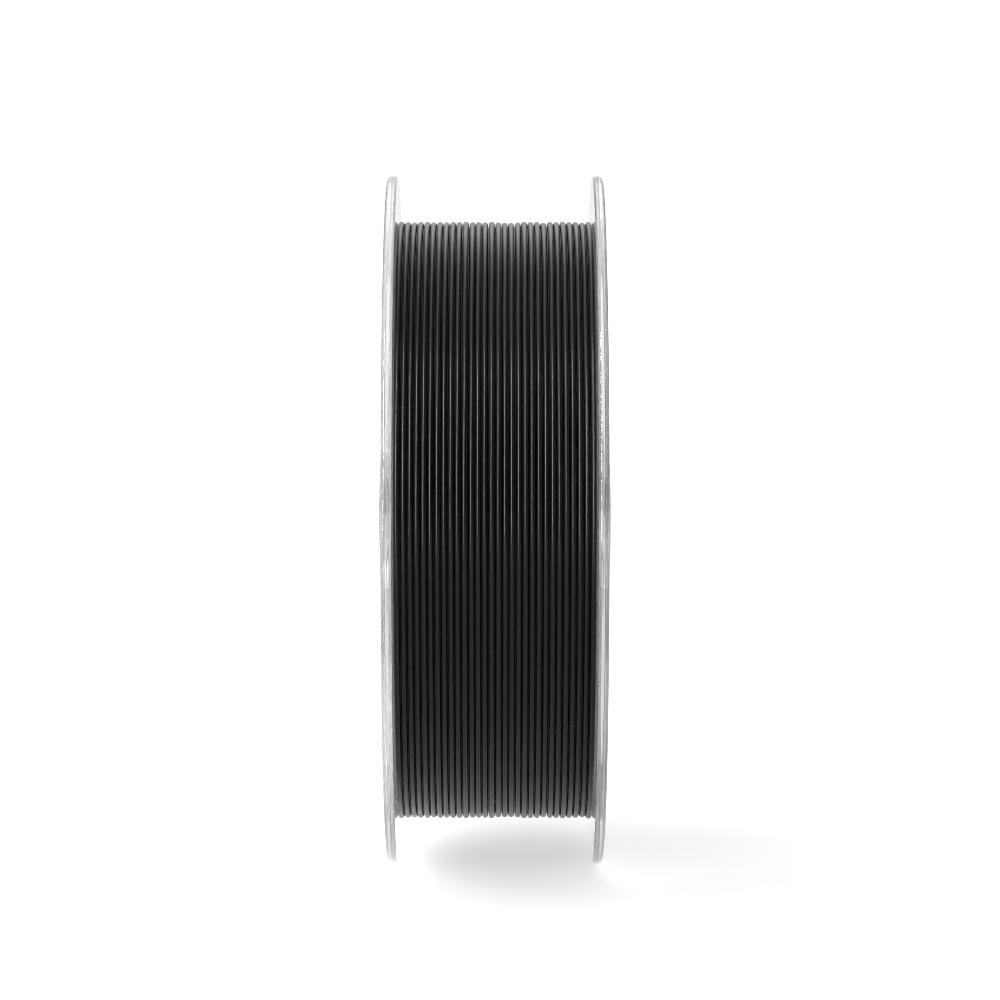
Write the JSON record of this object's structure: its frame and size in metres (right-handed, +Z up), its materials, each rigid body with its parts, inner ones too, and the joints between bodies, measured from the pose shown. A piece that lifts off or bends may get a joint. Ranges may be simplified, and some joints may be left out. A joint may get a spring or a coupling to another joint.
{
  "type": "filament spool",
  "caption": "Clear-flanged spool with a central hub bore, wound full with matte black printing filament.",
  "frame": {"origin": "centre of the spool, on the bore axis and halfway between the flanges", "axes": "+X along the bore axis, +Z up; the spool stands on the rims of its flanges, front towards -Y"},
  "size_m": [0.0666, 0.2, 0.2],
  "materials": {
    "clear_plastic": "clear, polished polystyrene",
    "filament": "matte black, fibre-filled"
  },
  "bodies": {
    "root": {"left_flange": "clear_plastic", "right_flange": "clear_plastic", "barrel": "clear_plastic", "filament_winding": "filament", "filament_outer_layer": "filament", "filament_last_turn": "filament", "filament_start": "filament"}
  },
  "joints": []
}
